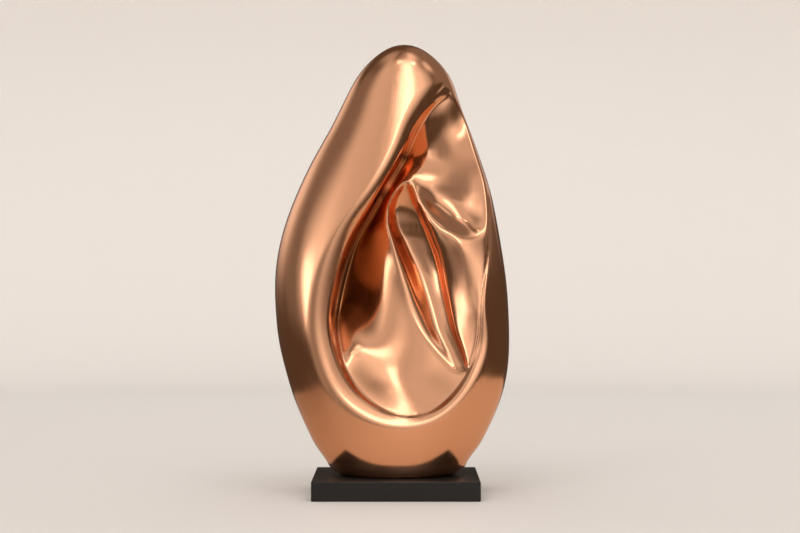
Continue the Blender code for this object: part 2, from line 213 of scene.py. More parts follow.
# %% Lines on the inner sheet
INNER_SHEET = {
    "valley": (
        (56, 404.5, 25), (50, 391, 24), (42, 377.5, 22), (34, 364, 16), (23, 347, 3), (9.5, 330, -11),
        (-8.5, 305, -16), (-26, 278, -19), (-41.5, 252, -21), (-54, 224, -20), (-61, 195, -17),
        (-64.5, 168, -12), (-62, 160, -3), (-58, 147, 8), (-54, 135, 17),
    ),
    "ridge": (
        (13.5, 307, 15), (1, 298, 15), (-7.5, 282.5, 15), (-8.5, 259.5, 15), (-1, 232.5, 15),
        (8.5, 199.5, 16), (15.5, 167, 18), (19.5, 139, 21.5),
    ),
    "lip crest": ((23, 285.5, 27), (42.5, 260, 32), (62, 250.5, 34), (79, 247, 34)),
    "trough rim": ((36.5, 238.5, 33), (45.5, 216, 30), (53, 193, 29), (62, 162, 33)),
    "lip": ((60, 237.5, 38), (71, 220, 37), (73, 196, 37), (78, 168, 40)),
    "right margin": (
        (64, 388, 13), (68, 366, 8), (70, 352, 11), (84, 336, 17), (91.5, 313.5, 18), (96.5, 284.5, 22),
        (97.5, 255.5, 27), (96.5, 222, 33), (94.5, 191, 38),
    ),
    "low ridge": ((50, 366, 15), (48, 352, 13), (51, 339.5, 13), (37.5, 320.5, 10)),
    "tongue": ((-15.5, 251, 6), (-14.5, 220, 8.5), (-13.5, 191, 11.5), (-12.5, 165, 15.5), (-11, 141, 20)),
    "tongue side": (
        (-26, 251, -1), (-27, 220, -1), (-30, 191, -1), (-33, 168, 4), (-35, 150, 11), (-36, 136, 18),
    ),
    "bowl rim": (
        (-52, 113, 33), (-38, 97, 36.5), (-20, 84, 40), (5, 75, 42.5), (30, 78, 42), (50, 93, 40),
        (63, 113, 39),
    ),
    "bowl": (
        (-41, 109, 31.5), (-28, 107, 29), (-10, 103, 27.2), (5, 100, 28), (22, 102, 29.5), (40, 108, 32.5),
    ),
    "bowl floor": (
        (-46, 125, 27.5), (-32, 122, 26.2), (-18, 121, 24.8), (-3, 120, 23.8), (12, 120, 24.4),
        (28, 121, 26.5),
    ),
}
LINE_STEP = 9.0
LINE_CLEARANCE = 3.0
PLATE_SPAN = 100.0


def pins_on(lines):
    """Pins spread along the lines, none closer to another than the clearance."""
    pins = []
    for line in lines.values():
        reach = np.linalg.norm(np.diff(np.array(line, dtype=float)[:, :2], axis=0), axis=1).sum()
        for row in draw_line(line, max(len(line), int(round(reach / LINE_STEP)) + 1)):
            if all(np.hypot(*(row[:2] - pin[:2])) > LINE_CLEARANCE for pin in pins):
                pins.append(row)
    return np.array(pins)


def bending(square):
    """Distance squared times the logarithm of the distance, worked out from the distance squared."""
    return 0.5 * square * np.log(square + 1e-12)


def membrane(lines, slack, side, up):
    """Thin plate: a plane plus, for every pin, weight * distance ** 2 * log(distance)."""
    pins = pins_on(lines)
    flat = pins[:, :2] / PLATE_SPAN
    apart = ((flat[:, None] - flat[None])**2).sum(axis=2)
    plane = np.column_stack([np.ones(len(flat)), flat])
    system = np.block([[bending(apart) + slack * np.eye(len(flat)), plane], [plane.T, np.zeros((3, 3))]])
    weights = np.linalg.solve(system, np.concatenate([pins[:, 2], np.zeros(3)]))
    height = weights[-3] + weights[-2] * side / PLATE_SPAN + weights[-1] * up / PLATE_SPAN
    for weight, (pin_side, pin_up) in zip(weights, flat):
        height = height + weight * bending((side / PLATE_SPAN - pin_side)**2 + (up / PLATE_SPAN - pin_up)**2)
    return height


print("the inner sheet is pinned in", len(pins_on(INNER_SHEET)), "places")

# %% [markdown]
# ## The dish
#
# Above the lip the metal is pressed into a shallow dish. It is a second pinned sheet. Where two sheets cross,
# the lower one wins, and the line where they cross becomes the crest between two hollows.

# %% Lines on the dish
DISH_SHEET = {
    "bed": ((31, 303, 13), (43.5, 299, 12), (56, 296, 12), (68.5, 291.5, 13.5), (80, 288.5, 17)),
    "lower wall": ((36.5, 280, 16), (48.5, 270, 18), (64.5, 262.5, 19), (79, 261.5, 21)),
    "crest": (
        (15.5, 301, 17), (24, 284.5, 25), (42.5, 259.5, 33), (62, 249, 35), (80, 246, 35), (92.5, 252, 33),
    ),
    "beyond": ((15.5, 281.5, 38), (35.5, 250, 54), (60, 236.5, 56), (82, 232.5, 56)),
    "upper wall": ((40.5, 320.5, 12), (51, 337, 14.5), (64, 346, 15.5), (77, 342, 16.5)),
    "above": ((30, 338, 12), (44, 354, 16), (60, 364, 19)),
    "right": ((85, 321.5, 18), (91.5, 303, 20), (93.5, 279, 26)),
}
print("the dish is pinned in", len(pins_on(DISH_SHEET)), "places")

# %% [markdown]
# ## The trough
#
# The trough on the right turns and widens as it goes down, so it is lofted instead. Six lanes run down it
# side by side, each with its place across and its height at the same thirteen levels. Between the lanes the
# surface is a cubic that never overshoots, so a flat floor stays flat and a wall stays one clean sweep. Past
# its two ends the trough rises steadily, which closes it.

# %% Lanes down the trough
TROUGH_LEVELS = (299, 284.5, 272, 261.5, 253.5, 243, 230.5, 212, 191, 170.5, 149.5, 129, 112)
TROUGH_LANES = (
    (
        (5, 16), (-5, 16), (-9, 15), (-9, 15), (-7.5, 15), (-4, 15), (0, 15), (6, 16), (12.5, 18), (17, 21),
        (25, 25), (37.5, 32), (53, 40),
    ),
    (
        (9.5, 12), (2, 4), (0, 1), (1.5, 0), (4, -1), (9.5, -2), (15.5, -2), (24, -1), (31, 2), (37.5, 8),
        (43.5, 15), (53, 26), (62, 37),
    ),
    (
        (12.5, 14), (16.5, 6), (23, 4), (27, 3), (31, 3), (35, 3), (40, 4), (45, 5), (49, 8), (53, 13),
        (58, 20), (65.5, 30), (70.5, 39),
    ),
    (
        (16, 20), (20, 22), (26.5, 24), (30.5, 26), (34.5, 27), (38.5, 27.5), (43.5, 28), (48.5, 28.5),
        (52.5, 29), (56.5, 31), (61.5, 36), (69, 42), (74, 47),
    ),
    (
        (28.5, 34), (35, 35), (42, 37), (47, 38), (51.5, 38), (57, 38), (62.5, 38), (68, 39), (72, 42),
        (75, 45), (79, 49), (86, 53), (88.5, 56),
    ),
    (
        (45.5, 60), (52, 60), (62, 60), (72.5, 60), (81, 60), (89, 60), (91.5, 60), (91.5, 60), (90, 60),
        (89, 60), (88, 60), (94, 60), (96.5, 60),
    ),
)
CLOSING_SLOPE = 1.5


def steady_cubic(at, knots, values):
    """One cubic row per point through its own knots, with slopes chosen so that it never overshoots."""
    steps = np.diff(knots, axis=1)
    rises = np.diff(values, axis=1) / steps
    early = 2 * steps[:, 1:] + steps[:, :-1]
    late = steps[:, 1:] + 2 * steps[:, :-1]
    same = rises[:, :-1] * rises[:, 1:] > 0
    first = np.where(same, rises[:, :-1], 1.0)
    second = np.where(same, rises[:, 1:], 1.0)
    inner = np.where(same, (early + late) / (early / first + late / second), 0.0)
    slopes = np.concatenate([rises[:, :1], inner, rises[:, -1:]], axis=1)
    point = np.arange(len(at))
    k = np.clip((at[:, None] >= knots).sum(axis=1) - 1, 0, knots.shape[1] - 2)
    step = steps[point, k]
    t = np.clip((at - knots[point, k]) / step, 0.0, 1.0)
    height = (2 * t**3 - 3 * t**2 + 1) * values[point, k] + (3 * t**2 - 2 * t**3) * values[point, k + 1]
    height = height + step * ((t**3 - 2 * t**2 + t) * slopes[point, k] + (t**3 - t**2) * slopes[point, k + 1])
    before = np.maximum(knots[:, 0] - at, 0.0)
    after = np.maximum(at - knots[:, -1], 0.0)
    return height - before * slopes[:, 0] + after * slopes[:, -1]


def trough(side, up):
    """A loft: every lane is read at the point's height, then a steady cubic runs across the lanes."""
    levels = np.array(TROUGH_LEVELS[::-1], dtype=float)
    held = np.clip(up, levels[0], levels[-1])
    knots = np.broadcast_to(levels, (len(up), len(levels)))
    places = []
    heights = []
    for lane in TROUGH_LANES:
        rows = np.array(lane[::-1], dtype=float)
        places.append(steady_cubic(held, knots, np.broadcast_to(rows[:, 0], knots.shape)))
        heights.append(steady_cubic(held, knots, np.broadcast_to(rows[:, 1], knots.shape)))
    height = steady_cubic(side, np.column_stack(places), np.column_stack(heights))
    return height + CLOSING_SLOPE * np.abs(up - held)


print("the trough is", TROUGH_LEVELS[0] - TROUGH_LEVELS[-1], "shares long")

# %% [markdown]
# ## Rounded joins
#
# Where two sheets of metal meet, polishing leaves a small radius. Two helpers make every such join: one takes
# the lower of two surfaces and rounds the crossing, the other bends a straight run softly out of the level.
# A third gives an eased step, for whatever fades in or out gradually.

# %% Eased steps and rounded joins


def ease(t):
    """Runs from 0 to 1 with no slope and no bend at either end: t ** 3 * (6 t ** 2 - 15 t + 10)."""
    t = np.clip(t, 0.0, 1.0)
    return t**3 * (t * (6 * t - 15) + 10)


def blend_low(a, b, width):
    """The lower of a and b, rounded where they come within the width of each other."""
    share = np.clip(0.5 + 0.5 * (b - a) / width, 0.0, 1.0)
    return b + (a - b) * share - width * share * (1 - share)


def soft_bend(distance, width):
    """Nought before the bend and the distance itself past it, rounded over the width on either side."""
    return -blend_low(-distance, 0.0, width)


print("where two sheets cross, a join 4 shares wide takes off", -blend_low(0.0, 0.0, 4.0), "share")

# %% [markdown]
# ## The carved front
#
# The fold is the egg, first sloping in over the width of its roll and then dropping steeply at its edge. The
# sheet is the lowest of the inner sheet, the trough and the dish. It never stands out past the egg, and it
# falls away outside the fold's edge. The higher of fold and sheet is the metal that shows, and what is kept
# is how far it lies behind the egg.
#
# Near the top the slopes are gentler and the last join is wider, because there the fold melts into the tip.

# %% The carved front
INNER_SLACK = 0.02
DISH_SLACK = 0.002
TROUGH_ROUNDING = 6.0
DISH_ROUNDING = 10.0
MARGIN_ROUNDING = 3.0
CREASE_ROUNDING = 2.0
TOP_EXTRA_ROUNDING = 14.0
TOP_ROUNDING_START = 320.0
TOP_ROUNDING_SPAN = 60.0
BROW_SLOPE = 0.62
BROW_BEND = 0.5
WALL_SLOPE = 12.0
WALL_BEND = 2.5
TOP_BROW_SLOPE = 0.45
TOP_WALL_SLOPE = 0.8
TOP_START = 345.0
TOP_SPAN = 55.0
OUTSIDE_FALL = 3.0


def carving(side, up):
    """How far the metal lies behind the egg's own surface, at points across the front."""
    egg = egg_depth(side, *outline_at(up))
    inside, radius = edge_distance(side, up)
    high = ease((up - TOP_START) / TOP_SPAN)
    brow = BROW_SLOPE + (TOP_BROW_SLOPE - BROW_SLOPE) * high
    wall = WALL_SLOPE + (TOP_WALL_SLOPE - WALL_SLOPE) * high
    rolled = egg - brow * soft_bend(inside + radius, BROW_BEND * radius)
    fold = rolled - (wall - brow) * soft_bend(inside, WALL_BEND)
    sheet = blend_low(membrane(INNER_SHEET, INNER_SLACK, side, up), trough(side, up), TROUGH_ROUNDING)
    sheet = blend_low(sheet, membrane(DISH_SHEET, DISH_SLACK, side, up), DISH_ROUNDING)
    sheet = blend_low(sheet, egg, MARGIN_ROUNDING)
    sheet = sheet + OUTSIDE_FALL * np.minimum(inside, 0.0)
    rounding = CREASE_ROUNDING + TOP_EXTRA_ROUNDING * ease((up - TOP_ROUNDING_START) / TOP_ROUNDING_SPAN)
    metal = -blend_low(-fold, -sheet, rounding)
    return np.maximum(egg - metal, 0.0)


print("carving in the bowl:", round(float(carving(np.array([0.0]), np.array([100.0]))[0]), 1), "shares")

# %% [markdown]
# ## Maps of depth
#
# A hand-polished casting has no hard crease. So the carving is worked out on a level grid, one share apart,
# and softened there by about a millimetre before the mesh reads it.
#
# A second map holds how far the inner sheet alone lies behind the egg. The painted shade in the hollows
# follows it later.

# %% Depth maps
POLISH = 1.0
BELL_REACH = 4
GRID_HALF_WIDTH = 130.0
GRID_SPARE = 6.0
TIP_HOLD = 0.5
SIDE_HOLD = 0.9999


def soften(field, width):
    """Average with a bell-shaped weight, first down the grid and then across it."""
    reach = int(BELL_REACH * width) + 1
    weights = np.exp(-0.5 * (np.arange(-reach, reach + 1) / width)**2)
    weights /= weights.sum()
    for turn in range(2):
        padded = np.pad(field, ((reach, reach), (0, 0)), mode="edge")
        field = sum(weight * padded[k:len(padded) - 2 * reach + k] for k, weight in enumerate(weights)).T
    return field


grid_side = np.arange(-GRID_HALF_WIDTH, GRID_HALF_WIDTH + 1)
grid_up = np.arange(-GRID_SPARE, SHARES + GRID_SPARE + 1)
side_map, up_map = np.meshgrid(grid_side, grid_up)
up_held = np.clip(up_map.ravel(), 0.0, SHARES - TIP_HOLD)
middle_map, wide_map, deep_map = outline_at(up_held)
side_held = np.clip(side_map.ravel(), middle_map - wide_map * SIDE_HOLD, middle_map + wide_map * SIDE_HOLD)
carving_map = soften(carving(side_held, up_held).reshape(side_map.shape), POLISH)
inner_map = membrane(INNER_SHEET, INNER_SLACK, side_held, up_held)
depth_map = (egg_depth(side_held, middle_map, wide_map, deep_map) - inner_map).reshape(side_map.shape)
print("deepest carving:", round(float(carving_map.max()), 1), "shares")

# %% [markdown]
# ## Reading a map between its points
#
# The mesh needs the depth at places that fall between the grid's own points. A cubic through the sixteen
# values round each place gives it, with no facets where one cell of the grid meets the next.

# %% Reading a map


def cubic_weights(t):
    """Weights of four values in a row for a place that is t of the way from the second to the third."""
    return (
        ((-t + 2) * t - 1) * t / 2,
        ((3 * t - 5) * t * t + 2) / 2,
        ((-3 * t + 4) * t + 1) * t / 2,
        (t - 1) * t * t / 2,
    )


def read_grid(field, side, up):
    """Cubic in both directions through the sixteen grid values round each point."""
    column = np.clip(np.floor(side - grid_side[0]).astype(int), 1, len(grid_side) - 3)
    row = np.clip(np.floor(up - grid_up[0]).astype(int), 1, len(grid_up) - 3)
    across = cubic_weights(side - grid_side[0] - column)
    upward = cubic_weights(up - grid_up[0] - row)
    return sum(upward[j] * across[i] * field[row + j - 1, column + i - 1] for j in range(4) for i in range(4))


print("the maps have", carving_map.size, "points")

# %% [markdown]
# ## Rings of points
#
# The mesh is a stack of closed level rings. Each ring has a fixed number of points, and they gather where the
# front is steep, so the walls of the hollows get as many faces as the open parts. The rings crowd a little
# towards the tip, where the egg bends most.
#
# The carving fades out where the egg itself has hardly any depth left, so front and back meet cleanly.

# %% Rings of the body
FRONT_POINTS = 230
BACK_POINTS = 52
RING_COUNT = 340
FINE_POINTS = 900
STEEP_SHARE = 0.5
TIP_CROWDING = 0.25
TIP_GAP = 0.02
SEAM_FADE = 4.0

t = np.linspace(0.0, 1.0, RING_COUNT)
levels = SHARES * (TIP_CROWDING * np.sin(t * np.pi / 2) + (1 - TIP_CROWDING) * t)
levels[-1] = SHARES - TIP_GAP
middle, wide, deep = outline_at(levels)
sweep = np.sin(np.linspace(-np.pi / 2, np.pi / 2, FINE_POINTS))
side = middle[:, None] + wide[:, None] * sweep
up = np.broadcast_to(levels[:, None], side.shape)
front = egg_depth(side, middle[:, None], wide[:, None], deep[:, None])
front = front - np.maximum(read_grid(carving_map, side, up), 0.0) * ease(front / SEAM_FADE)
front[:, [0, -1]] = 0.0

lengths = np.hypot(np.diff(side, axis=1), np.diff(front, axis=1))
arc = np.concatenate([np.zeros((RING_COUNT, 1)), np.cumsum(lengths, axis=1)], axis=1)
pace = STEEP_SHARE * arc / arc[:, -1:] + (1 - STEEP_SHARE) * np.linspace(0.0, 1.0, FINE_POINTS)
spots = np.linspace(0.0, 1.0, FRONT_POINTS)
front_side = np.array([np.interp(spots, row, values) for row, values in zip(pace, side)])
front_out = np.array([np.interp(spots, row, values) for row, values in zip(pace, front)])
back_sweep = np.sin(np.linspace(np.pi / 2, -np.pi / 2, BACK_POINTS + 2)[1:-1])
back_side = middle[:, None] + wide[:, None] * back_sweep
back_out = -egg_depth(back_side, middle[:, None], wide[:, None], deep[:, None])
ring_side = np.hstack([front_side, back_side])
ring_out = np.hstack([front_out, back_out])
print("each ring has", ring_side.shape[1], "points, and there are", RING_COUNT, "rings")

# %% [markdown]
# ## The body's mesh
#
# Neighbouring rings are joined by four-sided faces. The ring at the foot is closed by a flat fan, and the
# last one runs together in the tip. The new mesh stands in for the imported body, which is hidden, and rides
# where that body rides.
#
# Each point of the front also carries a number for painted shade, which darkens the deep hollows where
# shade falls. It grows with the depth of the inner sheet, or of the metal itself where the fold covers that
# sheet, and the copper reads it.

# %% Mesh of the body
HOLLOW_SHADE_START = 38.0
HOLLOW_SHADE_SPAN = 18.0
BODY_FOOT = sculpture_low[2]


def grid_faces(rings, around):
    """Four-sided faces between neighbouring rings, each ring closed on itself."""
    below = np.arange(rings - 1)[:, None] * around + np.arange(around)
    after = np.arange(rings - 1)[:, None] * around + (np.arange(around) + 1) % around
    return np.stack([below, after, after + around, below + around], axis=-1).reshape(-1, 4)


def mesh_from(name, points, quads, triangles):
    """A mesh from whole arrays: places of the points, then the corners of the faces."""
    mesh = bpy.data.meshes.new(name)
    corners = np.concatenate([quads.ravel(), triangles.ravel()])
    sizes = np.concatenate([np.full(len(quads), 4), np.full(len(triangles), 3)])
    mesh.vertices.add(len(points))
    mesh.vertices.foreach_set("co", points.ravel())
    mesh.loops.add(len(corners))
    mesh.loops.foreach_set("vertex_index", corners)
    mesh.polygons.add(len(sizes))
    mesh.polygons.foreach_set("loop_start", np.concatenate([[0], np.cumsum(sizes)[:-1]]))
    mesh.update(calc_edges=True)
    mesh.validate()
    mesh.shade_smooth()
    return mesh


around = ring_side.shape[1]
ring_up = np.repeat(levels[:, None], around, axis=1)
points = np.stack([ring_side, -ring_out, ring_up], axis=-1).reshape(-1, 3)
tip = (OUTLINE[-1][1], 0.0, SHARES)
foot = (OUTLINE[0][1], 0.0, 0.0)
points = np.vstack([points, tip, foot]) * UNIT + (0.0, 0.0, BODY_FOOT)
first = np.arange(around)
second = (first + 1) % around
top_ring = (RING_COUNT - 1) * around
tip_fan = np.column_stack([top_ring + first, top_ring + second, np.full(around, len(points) - 2)])
foot_fan = np.column_stack([second, first, np.full(around, len(points) - 1)])
body_mesh = mesh_from("copper_body", points, grid_faces(RING_COUNT, around), np.vstack([tip_fan, foot_fan]))
# Painted shade: the deeper a point of the front lies, the darker its copper is made.
sunk = read_grid(np.minimum(depth_map, carving_map), points[:, 0] / UNIT, (points[:, 2] - BODY_FOOT) / UNIT)
on_front = np.append(np.tile(np.arange(around) < FRONT_POINTS, RING_COUNT), [False, False])
hollow_shade = body_mesh.attributes.new("hollow_shade", "FLOAT", "POINT")
hollow_shade.data.foreach_set("value", np.where(on_front, ease((sunk - HOLLOW_SHADE_START) / HOLLOW_SHADE_SPAN), 0.0))
copper_body = bpy.data.objects.new("copper_body", body_mesh)
bpy.context.scene.collection.objects.link(copper_body)
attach(copper_body, "root")
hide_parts("sculpture")
print("copper body:", len(points), "points,", 2 * len(points), "triangles")

# %% [markdown]
# ## Helpers for materials
#
# Every material here starts from Blender's standard shader and gets its plain values on the shader's own
# sockets. What varies comes from noise on the object's own coordinates. A few helpers keep the trees short.

# %% Material helpers
MIX_FIRST, MIX_SECOND, MIX_RESULT = 6, 7, 2


def new_material(name, values):
    """A material with its plain values set on the shader's own sockets."""
    material = bpy.data.materials.new(name)
    material.use_nodes = True
    shader = material.node_tree.nodes["Principled BSDF"]
    for socket, value in values.items():
        shader.inputs[socket].default_value = value
    return material, material.node_tree, shader


def noise(tree, scale, stretch=(1.0, 1.0, 1.0), detail=3.0):
    """Noise on the object's own coordinates, stretched by a mapping."""
    place = tree.nodes.new("ShaderNodeTexCoord")
    mapping = tree.nodes.new("ShaderNodeMapping")
    texture = tree.nodes.new("ShaderNodeTexNoise")
    mapping.inputs["Scale"].default_value = stretch
    texture.inputs["Scale"].default_value = scale
    texture.inputs["Detail"].default_value = detail
    tree.links.new(place.outputs["Object"], mapping.inputs["Vector"])
    tree.links.new(mapping.outputs["Vector"], texture.inputs["Vector"])
    return texture.outputs["Fac"]


def between(tree, value, low, high, start=0.3, end=0.7):
    """The value's range from start to end is mapped on low to high. Noise mostly lies from 0.3 to 0.7."""
    node = tree.nodes.new("ShaderNodeMapRange")
    for socket, amount in zip(("From Min", "From Max", "To Min", "To Max"), (start, end, low, high)):
        node.inputs[socket].default_value = amount
    tree.links.new(value, node.inputs["Value"])
    return node.outputs["Result"]


def mix_colours(tree, factor, first, second, blend="MIX"):
    """The first colour where the factor is 0 and the second where it is 1. MULTIPLY gives their product."""
    # A Mix node has a set of sockets for each kind of value, and the colour ones go by their numbers.
    node = tree.nodes.new("ShaderNodeMix")
    node.data_type = "RGBA"
    node.blend_type = blend
    for name, value in (("Factor", factor), (MIX_FIRST, first), (MIX_SECOND, second)):
        if isinstance(value, (float, tuple)):
            node.inputs[name].default_value = value
        else:
            tree.links.new(value, node.inputs[name])
    return node.outputs[MIX_RESULT]


print("materials before the object's own:", len(bpy.data.materials))

# %% [markdown]
# ## Polished copper
#
# Polished copper is a metal with a warm, slightly rough mirror finish. Broad soft noise tones its colour, as
# handled metal does. Fine upright scratches from the last polishing spread each reflection sideways a little,
# so noise stretched along the height drives a very small bump and a little change in roughness.
#
# The painted shade that the mesh carries multiplies the colour by a dull brown in the deep hollow, where
# shade falls.

# %% Copper
COPPER_DEEP = (0.865, 0.415, 0.222, 1.0)
COPPER_PALE = (0.895, 0.440, 0.245, 1.0)
TONE_SCALE = 9.0
TONE_STRETCH = (1.0, 1.0, 0.5)
TONE_DETAIL = 4.0
NO_SHADE = (1.0, 1.0, 1.0, 1.0)
FULL_SHADE = (0.48, 0.43, 0.33, 1.0)
SCRATCH_SCALE = 420.0
SCRATCH_STRETCH = (1.0, 1.0, 0.05)
SCRATCH_DETAIL = 2.0
COPPER_ROUGHNESS = (0.12, 0.18)
SCRATCH_STRENGTH = 0.05
SCRATCH_DEPTH = 0.0002

copper, tree, shader = new_material("polished_copper", {"Metallic": 1.0})
tone = between(tree, noise(tree, TONE_SCALE, TONE_STRETCH, TONE_DETAIL), 0.0, 1.0)
worn = mix_colours(tree, tone, COPPER_DEEP, COPPER_PALE)
# Painted shade in the deep hollows multiplies the copper's colour by a dull brown.
deep = tree.nodes.new("ShaderNodeAttribute")
deep.attribute_name = "hollow_shade"
painted_shade = mix_colours(tree, deep.outputs["Fac"], NO_SHADE, FULL_SHADE)
tree.links.new(mix_colours(tree, 1.0, worn, painted_shade, "MULTIPLY"), shader.inputs["Base Color"])
scratches = noise(tree, SCRATCH_SCALE, SCRATCH_STRETCH, SCRATCH_DETAIL)
tree.links.new(between(tree, scratches, *COPPER_ROUGHNESS), shader.inputs["Roughness"])
bump = tree.nodes.new("ShaderNodeBump")
bump.inputs["Strength"].default_value = SCRATCH_STRENGTH
bump.inputs["Distance"].default_value = SCRATCH_DEPTH
tree.links.new(scratches, bump.inputs["Height"])
tree.links.new(bump.outputs["Normal"], shader.inputs["Normal"])
copper_body.data.materials.append(copper)
print("the body wears", copper.name)

# %% [markdown]
# ## Honed black stone
#
# The plinth is black stone that is honed and not polished. It is nearly black, with a fine pale speck and a
# dull sheen that varies slowly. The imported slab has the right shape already, so it only gets the material.

# %% Stone
STONE_BLACK = (0.008, 0.007, 0.007, 1.0)
STONE_SPECK = (0.028, 0.025, 0.024, 1.0)
SPECK_SCALE = 900.0
SPECK_DETAIL = 2.0
SPECK_RANGE = (0.55, 0.75)
SHEEN_SCALE = 60.0
STONE_ROUGHNESS = (0.28, 0.36)
STONE_SPECULAR = 0.35

stone, tree, shader = new_material("honed_black_stone", {"Specular IOR Level": STONE_SPECULAR})
specks = between(tree, noise(tree, SPECK_SCALE, detail=SPECK_DETAIL), 0.0, 1.0, *SPECK_RANGE)
tree.links.new(mix_colours(tree, specks, STONE_BLACK, STONE_SPECK), shader.inputs["Base Color"])
tree.links.new(between(tree, noise(tree, SHEEN_SCALE), *STONE_ROUGHNESS), shader.inputs["Roughness"])
frame["nodes"]["plinth"].material_slots[0].material = stone
print("the plinth wears", stone.name)

# %% [markdown]
# ## A pale surface
#
# Floor and backdrop are plain and matt. Polished metal shows the floor round it as a broad warm field, so the
# floor has one colour for the mirror and another for the eye. The mirrored one darkens to the left, painted
# shade for the dimmer side of the room, and the seen one is painted darker at the front and paler towards the
# back, as light falls in a studio.

# %% Pale material
# Painted shade: the mirrored colour darkens to the left and the seen colour darkens towards the front.
SHADE_ACROSS = (-0.32, -0.04)
SHADE_BACK = (-0.2, 1.4)
MIRRORED = (0.64, 0.555, 0.475, 1.0)
MIRRORED_LEFT_SHADE = (0.33, 0.275, 0.23, 1.0)
SEEN_NEAR_SHADE = (0.83, 0.815, 0.80, 1.0)
SEEN_FAR = (0.95, 0.955, 0.955, 1.0)
PALE_ROUGHNESS = 0.5


def pale_material(name, mirrored_left_shade):
    """A matt surface with painted shade: its mirrored colour runs from left to right, its seen colour from
    front to back.
    """
    material, tree, shader = new_material(name, {"Roughness": PALE_ROUGHNESS})
    split = tree.nodes.new("ShaderNodeSeparateXYZ")
    tree.links.new(tree.nodes.new("ShaderNodeTexCoord").outputs["Object"], split.inputs[0])
    rightness = between(tree, split.outputs["X"], 0.0, 1.0, *SHADE_ACROSS)
    farness = between(tree, split.outputs["Y"], 0.0, 1.0, *SHADE_BACK)
    mirrored = mix_colours(tree, rightness, mirrored_left_shade, MIRRORED)
    direct = mix_colours(tree, farness, SEEN_NEAR_SHADE, SEEN_FAR)
    seen = tree.nodes.new("ShaderNodeLightPath").outputs["Is Camera Ray"]
    tree.links.new(mix_colours(tree, seen, mirrored, direct), shader.inputs["Base Color"])
    return material


floor_material = pale_material("pale_floor", MIRRORED_LEFT_SHADE)
cove_material = pale_material("pale_cove", MIRRORED)
print("pale materials:", floor_material.name, "and", cove_material.name)

# %% [markdown]
# ## Floor and backdrop
#
# The floor near the object is a rounded rectangle, like a table top, and its outline is what the metal shows
# as the edge of the warm field at its foot. Round it a wide floor runs back and curves up into the backdrop,
# so no horizon shows. That far part stays out of the mirror, where the room takes its place.

# %% Stage
TABLE_MIDDLE = (0.125, -0.05)
TABLE_HALF = (0.50, 0.60)
TABLE_POWER = 4.0
COVE_FLOOR = ((0.20, 0.0), (1.7, 0.0))
COVE_RADIUS = 0.9
COVE_TOP = 4.0
COVE_STEPS = 12
STEPS_AROUND = 96
COVE_DROP = 0.0005

# The table's outline is a superellipse, closed by a fan round its middle.
turn = np.arange(STEPS_AROUND) * 2 * np.pi / STEPS_AROUND
circle = np.column_stack([np.cos(turn), np.sin(turn)])
squared = np.sign(circle) * np.abs(circle)**(2 / TABLE_POWER)
floor_points = np.vstack([np.column_stack([squared * TABLE_HALF, np.zeros(STEPS_AROUND)]), (0.0, 0.0, 0.0)])
floor_points = floor_points + (*TABLE_MIDDLE, 0.0)
edge = np.arange(STEPS_AROUND)
floor_faces = np.column_stack([edge, (edge + 1) % STEPS_AROUND, np.full(STEPS_AROUND, STEPS_AROUND)])
floor_mesh = mesh_from("floor", floor_points, np.zeros((0, 4), dtype=int), floor_faces)
floor = bpy.data.objects.new("floor", floor_mesh)

# The cove is a profile turned round the upright axis, with its faces towards the object.
rise = np.linspace(0.0, np.pi / 2, COVE_STEPS + 1)[1:]
bend = np.column_stack([COVE_FLOOR[-1][0] + COVE_RADIUS * np.sin(rise), COVE_RADIUS * (1 - np.cos(rise))])
profile = np.vstack([COVE_FLOOR, bend, (COVE_FLOOR[-1][0] + COVE_RADIUS, COVE_TOP)])
out = profile[:, None, :1] * circle
high = np.repeat(profile[:, None, 1:], STEPS_AROUND, axis=1) - COVE_DROP
cove_points = np.concatenate([out, high], axis=2).reshape(-1, 3)
cove_faces = grid_faces(len(profile), STEPS_AROUND)[:, ::-1]
cove_mesh = mesh_from("cove", cove_points, cove_faces, np.zeros((0, 3), dtype=int))
cove = bpy.data.objects.new("cove", cove_mesh)

for piece, material in ((floor, floor_material), (cove, cove_material)):
    piece.data.materials.append(material)
    bpy.context.scene.collection.objects.link(piece)
cove.visible_glossy = False
cove.visible_shadow = False
print("floor:", len(floor_points), "points, cove:", len(cove_points), "points")

# %% [markdown]
# ## Lamps
#
# A mirror shows its room, so the lamps are placed by what the metal should reflect. Two small ones above the
# camera are mirrored, and make the bright spots at the tip. Two big soft ones light the floor and the
# backdrop, and stay out of the mirror.
#
# A row gives the lamp's name, its azimuth and elevation in degrees, its distance, its size, its brightness
# and whether the metal mirrors it.

# %% Lamps
LOOK_AT = (0.0, 0.0, 0.25)
LAMPS = (
    ("right_spot", 16, 62, 2.1, (0.10, 0.10), 7.0, True),
    ("left_spot", -6, 64, 2.1, (0.08, 0.10), 7.0, True),
    ("soft_key", -25, 50, 2.6, (1.2, 1.2), 2.6, False),
    ("soft_fill", 30, 60, 2.6, (1.2, 1.2), 2.0, False),
)
LAMP_COLOUR = (1.0, 0.98, 0.96)


def place_round(azimuth, elevation, distance):
    """A place on a sphere round the object: azimuth 0 is towards the camera, positive to its right."""
    a = math.radians(azimuth)
    e = math.radians(elevation)
    out = (math.sin(a) * math.cos(e), -math.cos(a) * math.cos(e), math.sin(e))
    return Vector(LOOK_AT) + distance * Vector(out)


for name, azimuth, elevation, distance, size, glow, mirrored in LAMPS:
    lamp = bpy.data.lights.new(name, "AREA")
    lamp.shape = "RECTANGLE"
    lamp.size, lamp.size_y = size
    lamp.energy = glow * math.pi * size[0] * size[1]
    lamp.color = LAMP_COLOUR
    holder = bpy.data.objects.new(name, lamp)
    holder.location = place_round(azimuth, elevation, distance)
    holder.rotation_euler = (Vector(LOOK_AT) - holder.location).to_track_quat("-Z", "Y").to_euler()
    holder.visible_glossy = mirrored
    bpy.context.scene.collection.objects.link(holder)
print("lamps:", len(LAMPS))

